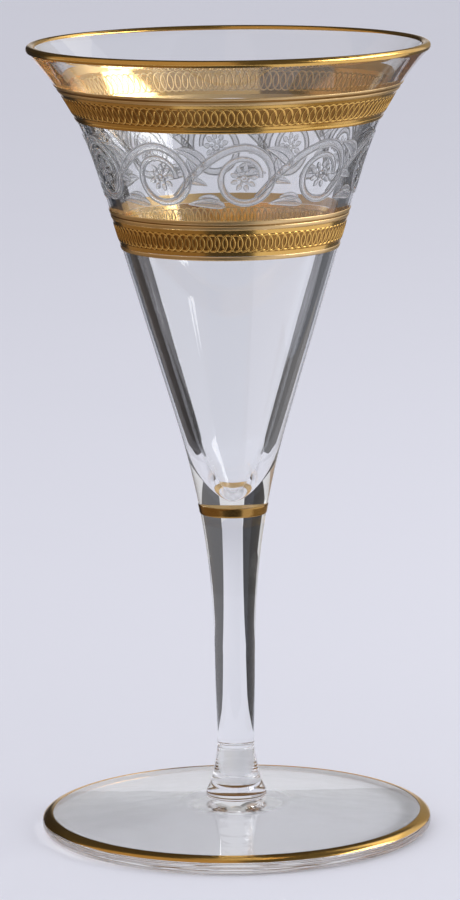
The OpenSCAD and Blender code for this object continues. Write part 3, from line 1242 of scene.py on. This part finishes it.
@dataclass
class ScrollFrieze:
    """The etched running scroll: volutes with rosettes, and leaves between them."""

    outline: Outline
    volutes: int = 10
    drop: float = 22.1
    turn: float = math.radians(6)
    belt_half_h: float = 6.6
    stalk_root_w: float = 0.9
    stalk_w: float = 1.7
    stalk_end_w: float = 1.0
    wind_turn: float = math.radians(450)
    wind_start: float = math.radians(90)
    wind_from_r: float = 5.7
    wind_to_r: float = 3.0
    wind_steps: int = 64
    spring: tuple[Point2, ...] = ((-11.9, -3.6), (-9.6, 0.1), (-5.2, 5.7))
    spring_steps: int = 22
    petal_rings: tuple[tuple[int, float, float, float], ...] = (
        (9, 1.25, 2.6, 1.0),
        (6, 0.6, 1.45, 0.65),
    )
    petal_bend: float = 0.18
    curl_r: float = 0.85
    curl_turn: float = math.radians(520)
    curl_w: float = 0.36
    curl_close: float = 0.85
    curl_steps: int = 28
    leaf_belly: float = 0.75
    leaf_fullness: float = 0.7
    leaf_tip: float = 0.01
    leaf_steps: int = 12
    leaves: tuple[tuple[tuple[Point2, Point2, Point2], float], ...] = (
        (((-7.0, 1.9), (-8.4, 4.9), (-12.4, 5.4)), 2.3),
        (((-8.4, 0.4), (-9.6, 1.8), (-10.0, 3.8)), 1.5),
        (((-9.9, -0.5), (-8.4, -0.3), (-6.4, -1.4)), 1.5),
        (((-3.2, -5.3), (-6.0, -4.1), (-9.7, -4.9)), 1.9),
        (((-4.2, -4.3), (-5.8, -3.2), (-8.0, -3.7)), 1.4),
    )

    @property
    def middle_z(self) -> float:
        """Height of the middle of the volutes."""
        return self.outline.height - self.drop

    def _add_stroke(
        self, shape: Shape, path: np.ndarray, half_w: np.ndarray, section: StrokeSection, facing: float
    ) -> None:
        """Adds one raised stroke on the wall.

        Args:
            shape: the piece that gets it.
            path: flat points along its middle, to the right and up from the volute's middle.
            half_w: half its width at each point.
            section: its cross-section.
            facing: angle around the glass of the volute's middle.
        """
        along = np.gradient(path, axis=0)
        along /= np.linalg.norm(along, axis=1)[:, None]
        side = np.column_stack([-along[:, 1], along[:, 0]])
        across = np.array(section.across + section.across[::-1])
        rise = np.array(section.rises + (-Layer.EMBED,) * len(section.across))
        flat = path[:, None] + half_w[:, None, None] * across[None, :, None] * side[:, None]
        height = np.clip(flat[..., 1], -self.belt_half_h, self.belt_half_h)
        z = self.middle_z + height
        radius = self.outline.outer_r(z) + rise
        angle = facing + np.arcsin(flat[..., 0] / radius)
        rings = np.stack([radius * np.sin(angle), -radius * np.cos(angle), z], axis=-1)
        finishes = section.finishes + (Finish.FROST,) + section.finishes[::-1] + (Finish.FROST,)
        shape.sweep(rings, finishes, looped=False)

    def _stalk(self) -> tuple[np.ndarray, np.ndarray]:
        """Middle line and half width of the stalk, from its spring into the winding.

        Returns:
            The points and the half widths.
        """
        turned = np.linspace(0.0, self.wind_turn, self.wind_steps + 1)
        reach = self.wind_from_r + (self.wind_to_r - self.wind_from_r) * turned / self.wind_turn
        heading = self.wind_start - turned
        wound = reach[:, None] * np.column_stack([np.cos(heading), np.sin(heading)])
        sprung = bezier((*self.spring, tuple(wound[0])), self.spring_steps)[:-1]
        path = np.concatenate([sprung, wound])
        widths = (self.stalk_root_w, self.stalk_w, self.stalk_end_w)
        places = (0, self.spring_steps // 2, len(path) - 1)
        return path, np.interp(np.arange(len(path)), places, widths) / 2

    def _leaf(self, corners: Sequence[Point2], width: float) -> tuple[np.ndarray, np.ndarray]:
        """Middle line and half width of a pointed leaf.

        Args:
            corners: its root, the point that bends it and its tip.
            width: its greatest width.

        Returns:
            The points and the half widths.
        """
        path = bezier(corners, self.leaf_steps)
        t = np.linspace(0.0, 1.0, len(path))
        swell = np.maximum(np.sin(math.pi * t**self.leaf_belly), self.leaf_tip)
        return path, width / 2 * swell**self.leaf_fullness

    def _rosette(self) -> list[tuple[np.ndarray, np.ndarray]]:
        """Middle lines and half widths of the petals and of the curl inside them.

        Returns:
            The points and the half widths of each stroke.
        """
        strokes = []
        for count, from_r, to_r, width in self.petal_rings:
            for i in range(count):
                heading = i * FULL_TURN / count
                way = np.array([math.cos(heading), math.sin(heading)])
                bend = self.petal_bend * np.array([-way[1], way[0]])
                middle = (from_r + to_r) / 2 * way + bend
                strokes.append(self._leaf((tuple(from_r * way), tuple(middle), tuple(to_r * way)), width))
        turned = np.linspace(0.0, self.curl_turn, self.curl_steps)
        reach = self.curl_r * (1 - self.curl_close * turned / self.curl_turn)
        curl = reach[:, None] * np.column_stack([np.cos(turned), -np.sin(turned)])
        strokes.append((curl, np.full(len(curl), self.curl_w / 2)))
        return strokes

    def make(self, palette: Palette) -> None:
        """Builds and dresses the frieze.

        Args:
            palette: where its materials come from.
        """
        shape = Shape()
        for i in range(self.volutes):
            facing = self.turn + i * FULL_TURN / self.volutes
            self._add_stroke(shape, *self._stalk(), STALK, facing)
            for path, half_w in self._rosette():
                self._add_stroke(shape, path, half_w, PETAL, facing)
            for corners, width in self.leaves:
                self._add_stroke(shape, *self._leaf(corners, width), LEAF, facing)
        set_out(shape, "scroll_etching", "scroll_frieze", palette)


class SeenBy(Enum):
    """What a card of the studio is there for."""

    METAL = "reflections"
    GLASS = "refractions"
    BOTH = "reflections and refractions"


class Shade(Enum):
    """Shades of the studio's cards, where 1 is white."""

    DEEP = (0.025, 0.026, 0.031)
    BLACK = (0.035, 0.032, 0.028)
    SOOT = (0.04, 0.04, 0.04)
    DUSK = (0.06, 0.056, 0.053)
    SLATE = (0.06, 0.062, 0.075)
    DIM = (0.09, 0.085, 0.08)
    IRON = (0.1, 0.1, 0.1)
    GREY = (0.12, 0.122, 0.133)
    LEAD = (0.19, 0.19, 0.19)
    UMBER = (0.25, 0.185, 0.13)
    ASH = (0.28, 0.28, 0.28)
    WARM = (0.3, 0.25, 0.18)
    TAN = (0.3, 0.27, 0.2)
    PEARL = (0.36, 0.36, 0.36)
    ROSE = (0.42, 0.31, 0.24)
    SOFT = (0.42, 0.41, 0.4)
    SAND = (0.46, 0.37, 0.295)
    WINDOW = (1.4, 1.35, 1.25)
    SOFT_BOX = (7.0, 7.0, 7.0)


def stage_mesh(name: str, points: Sequence[Point3], faces: Sequence[tuple[int, ...]]) -> bpy.types.Object:
    """Adds a mesh that isn't part of the glass.

    Args:
        name: its name.
        points: its points, in metres.
        faces: its faces.

    Returns:
        The object.
    """
    mesh = bpy.data.meshes.new(name)
    mesh.from_pydata(points, [], faces)
    thing = bpy.data.objects.new(name, mesh)
    bpy.context.scene.collection.objects.link(thing)
    return thing


@dataclass
class Card:
    """A card of the studio that only glass or gold shows. The camera and the floor don't see it."""

    name: str
    shade: Shade
    seen_by: SeenBy

    def corners(self) -> CardMesh:
        """Points in metres and faces, which each kind of card gives."""
        raise NotImplementedError

    def make(self) -> None:
        """Adds the card, in one shade all over."""
        thing = stage_mesh(f"{self.name}_face", *self.corners())
        material = bpy.data.materials.new(self.name)
        Graph(material).glow(self.shade.value)
        thing.data.materials.append(material)
        thing.visible_camera = False
        thing.visible_diffuse = False
        thing.visible_shadow = False
        thing.visible_glossy = self.seen_by is not SeenBy.GLASS
        thing.visible_transmission = self.seen_by is not SeenBy.METAL


@dataclass
class UprightCard(Card):
    """A curved card that stands upright around the glass."""

    turn: Point2
    heights: Point2
    radius: float = 2.45
    steps: int = 24

    def corners(self) -> CardMesh:
        """Points and faces of the card.

        Returns:
            The points in metres and the faces.
        """
        start, end = self.turn
        points, faces = [], []
        for i in range(self.steps + 1):
            angle = math.radians(start + (end - start) * i / self.steps)
            for height in self.heights:
                points.append((self.radius * math.sin(angle), -self.radius * math.cos(angle), height))
        for i in range(self.steps):
            faces.append((2 * i, 2 * i + 2, 2 * i + 3, 2 * i + 1))
        return points, faces


@dataclass
class LevelCard(Card):
    """A card that lies level, just above the floor."""

    outline: tuple[Point2, ...]
    height: float = 0.001

    def corners(self) -> CardMesh:
        """Points in metres and the one face of the card."""
        points = [(x, y, self.height) for x, y in self.outline]
        return points, [tuple(range(len(points)))]


@dataclass
class Canopy(Card):
    """A patch of a dome over the studio."""

    turn: Point2
    rise: Point2
    radius: float = 2.5
    turn_steps: int = 36
    rise_steps: int = 12

    def corners(self) -> CardMesh:
        """Points and faces of the patch.

        Returns:
            The points in metres and the faces.
        """
        points, faces = [], []
        for rise in np.radians(np.linspace(*self.rise, self.rise_steps + 1)):
            for angle in np.radians(np.linspace(*self.turn, self.turn_steps + 1)):
                level = self.radius * math.cos(rise)
                place = (level * math.sin(angle), -level * math.cos(angle), self.radius * math.sin(rise))
                points.append(place)
        row = self.turn_steps + 1
        for i in range(self.rise_steps):
            for j in range(self.turn_steps):
                first = i * row + j
                faces.append((first, first + 1, first + row + 1, first + row))
        return points, faces


@dataclass
class SoftBox(Card):
    """A soft box that faces the glass: a lamp, and the card that glass and gold mirror in its place."""

    place: Point3
    aim: Point3
    width: float
    height: float
    brightness: float

    @property
    def facing(self) -> Quaternion:
        """Turn that makes the lamp look at its aim."""
        return (Vector(self.aim) - Vector(self.place)).to_track_quat("-Z", "Y")

    def corners(self) -> CardMesh:
        """Points and the one face of its bright side.

        Returns:
            The points in metres and the face.
        """
        points = []
        for x, y in ((-1, -1), (1, -1), (1, 1), (-1, 1)):
            corner = Vector((x * self.width / 2, y * self.height / 2, 0.0))
            points.append(tuple(self.facing @ corner + Vector(self.place)))
        return points, [(0, 1, 2, 3)]

    def make(self) -> None:
        """Adds the card and the lamp, with the brightness of its bright side where 1 is white."""
        super().make()
        data = bpy.data.lights.new(self.name, "AREA")
        data.shape = "RECTANGLE"
        data.size = self.width
        data.size_y = self.height
        data.energy = self.brightness * math.pi * self.width * self.height
        lamp = bpy.data.objects.new(self.name, data)
        lamp.location = self.place
        lamp.rotation_euler = self.facing.to_euler()
        lamp.visible_camera = False
        lamp.visible_glossy = False
        lamp.visible_transmission = False
        bpy.context.scene.collection.objects.link(lamp)


@dataclass
class Studio:
    """Pale floor, soft light, cards that give glass and gold their depth, and the camera."""

    cards: list[Card]
    floor_reach: float = 6.0
    floor_gap: float = 0.00005
    floor_colour: Colour = (0.83, 0.835, 0.91)
    floor_mottle: Colour = (0.82, 0.825, 0.9)
    mottle_spread: float = 14.0
    mottle_detail: float = 4.0
    floor_roughness: float = 0.9
    floor_gloss: float = 0.1
    room_light: Colour = (0.71, 0.71, 0.74)
    camera_distance: float = 0.870
    camera_height: float = 0.2249
    camera_offset: float = -0.00048
    pitch: float = math.radians(10.0)
    roll: float = math.radians(0.65)
    lens: float = 191.0
    sensor: float = 36.0
    bounces: int = 32

    def _make_floor(self) -> None:
        """Adds the pale floor just under the foot."""
        r, z = self.floor_reach, -self.floor_gap
        floor = stage_mesh("floor", [(-r, -r, z), (r, -r, z), (r, r, z), (-r, r, z)], [(0, 1, 2, 3)])
        material = bpy.data.materials.new("pale_paper")
        graph = Graph(material)
        mottle = graph.noise((self.mottle_spread,) * 3, self.mottle_detail)
        graph.surface({
            "Base Color": graph.mix(mottle, self.floor_colour, self.floor_mottle),
            "Roughness": self.floor_roughness,
            "Specular IOR Level": self.floor_gloss,
        })
        floor.data.materials.append(material)

    def _make_world(self) -> None:
        """Adds the even light of the room."""
        world = bpy.data.worlds.new("room")
        bpy.context.scene.world = world
        graph = Graph(world)
        light = (*self.room_light, 1.0)
        shade = graph.node("ShaderNodeBackground", inputs={"Color": light, "Strength": 1.0})
        graph.node("ShaderNodeOutputWorld", inputs={"Surface": shade})

    def _make_camera(self) -> None:
        """Adds the camera of the photograph: a long lens that looks down a little and leans a little."""
        data = bpy.data.cameras.new("camera")
        data.lens = self.lens
        data.sensor_width = self.sensor
        data.sensor_fit = "AUTO"
        camera = bpy.data.objects.new("camera", data)
        right = Vector((1.0, 0.0, 0.0))
        ahead = Vector((0.0, math.cos(self.pitch), -math.sin(self.pitch)))
        up = right.cross(ahead)
        leaned_up = up * math.cos(self.roll) + right * math.sin(self.roll)
        leaned_right = right * math.cos(self.roll) - up * math.sin(self.roll)
        place = Matrix((leaned_right, leaned_up, -ahead)).transposed().to_4x4()
        place.translation = (self.camera_offset, -self.camera_distance, self.camera_height)
        camera.matrix_world = place
        bpy.context.scene.collection.objects.link(camera)
        bpy.context.scene.camera = camera

    def _set_up_view(self) -> None:
        """Sets the plain view transform, and enough bounces for thick glass."""
        scene = bpy.context.scene
        scene.view_settings.view_transform = "Standard"
        scene.cycles.max_bounces = self.bounces
        scene.cycles.glossy_bounces = self.bounces
        scene.cycles.transmission_bounces = self.bounces
        scene.cycles.transparent_max_bounces = self.bounces

    def make(self) -> None:
        """Builds the whole studio."""
        self._make_floor()
        for card in self.cards:
            card.make()
        self._make_world()
        self._make_camera()
        self._set_up_view()


def studio_cards() -> list[Card]:
    """The cards around the glass, and the soft box.

    Returns:
        The cards.
    """
    floor_card_height = 0.0002
    graded = (
        ((9.0, 11.0), Shade.PEARL),
        ((11.0, 13.0), Shade.ASH),
        ((13.0, 16.0), Shade.LEAD),
        ((16.0, 19.0), Shade.IRON),
        ((19.0, 25.5), Shade.SOOT),
    )
    return [
        LevelCard(
            "left_floor_card", Shade.DEEP, SeenBy.BOTH,
            (
                (-0.076, 0.044), (-0.065, 0.071), (-0.057, 0.092), (-0.055, 0.11),
                (-0.62, 3.0), (-4.8, 3.0), (-0.2, 0.125), (-0.14, 0.02),
            ),
            floor_card_height,
        ),
        LevelCard(
            "right_floor_card", Shade.GREY, SeenBy.BOTH,
            (
                (0.077, 0.043), (0.069, 0.067), (0.06, 0.091), (0.06, 0.11),
                (0.78, 3.0), (4.8, 3.0), (0.2, 0.125), (0.14, 0.02),
            ),
            floor_card_height,
        ),
        UprightCard("left_far_card", Shade.DEEP, SeenBy.BOTH, turn=(192.0, 230.0), heights=(0.0, 0.33)),
        UprightCard("right_far_card", Shade.GREY, SeenBy.GLASS, turn=(123.0, 165.0), heights=(0.0, 0.33)),
        LevelCard(
            "front_card", Shade.SLATE, SeenBy.METAL,
            ((-0.07, -0.6), (0.2, -0.6), (0.05, -0.075), (-0.07, -0.075)),
        ),
        LevelCard(
            "left_card", Shade.UMBER, SeenBy.METAL,
            ((-1.2, -0.6), (-0.07, -0.6), (-0.07, 0.05), (-0.11, 0.1), (-0.2, 0.25), (-1.2, 0.25)),
        ),
        Canopy("left_canopy", Shade.SAND, SeenBy.METAL, turn=(-120.0, 5.0), rise=(0.0, 88.0)),
        Canopy("front_right_canopy", Shade.DIM, SeenBy.METAL, turn=(5.0, 50.0), rise=(0.0, 88.0)),
        Canopy("right_canopy", Shade.DIM, SeenBy.METAL, turn=(50.0, 130.0), rise=(46.0, 88.0)),
        LevelCard(
            "right_card", Shade.WARM, SeenBy.METAL,
            ((0.065, -0.04), (0.15, -0.04), (0.2, 0.22), (0.075, 0.22)),
        ),
        Canopy("back_canopy", Shade.DUSK, SeenBy.METAL, turn=(155.0, 240.0), rise=(25.5, 88.0)),
        Canopy("back_top_canopy", Shade.DIM, SeenBy.METAL, turn=(130.0, 155.0), rise=(55.0, 88.0)),
        Canopy("window", Shade.WINDOW, SeenBy.METAL, turn=(128.0, 150.0), rise=(33.0, 48.0)),
        Canopy("back_right_canopy", Shade.TAN, SeenBy.METAL, turn=(150.0, 172.0), rise=(0.5, 25.5)),
        Canopy("back_left_canopy", Shade.BLACK, SeenBy.METAL, turn=(188.0, 240.0), rise=(0.5, 25.5)),
        *(
            Canopy(f"back_middle_canopy_{rise[0]:.0f}", shade, SeenBy.METAL, (172.0, 188.0), rise)
            for rise, shade in graded
        ),
        Canopy("left_middle_canopy", Shade.ROSE, SeenBy.GLASS, turn=(-150.0, -30.0), rise=(12.0, 40.0)),
        Canopy("left_upper_canopy", Shade.DIM, SeenBy.GLASS, turn=(-150.0, -30.0), rise=(40.0, 80.0)),
        Canopy("front_upper_canopy", Shade.SOFT, SeenBy.GLASS, turn=(-30.0, 60.0), rise=(5.0, 80.0)),
        SoftBox(
            "key_softbox", Shade.SOFT_BOX, SeenBy.BOTH,
            place=(0.776, -0.027, 0.585), aim=(0.0, 0.0, 0.13), width=0.8, height=0.354, brightness=3.7,
        ),
    ]


def main() -> None:
    """Builds the glass piece by piece, then the studio."""
    logging.basicConfig(level=logging.INFO, format="%(name)s: %(message)s")
    palette = Palette()
    outline = Outline()
    Bowl(outline).make(palette)
    Stem(outline).make(palette)
    Foot(outline).make(palette)
    RimGilding(outline).make(palette)
    GoldBands(outline).make(palette)
    ScrollFrieze(outline).make(palette)
    Studio(studio_cards()).make()


if __name__ == "__main__":
    main()
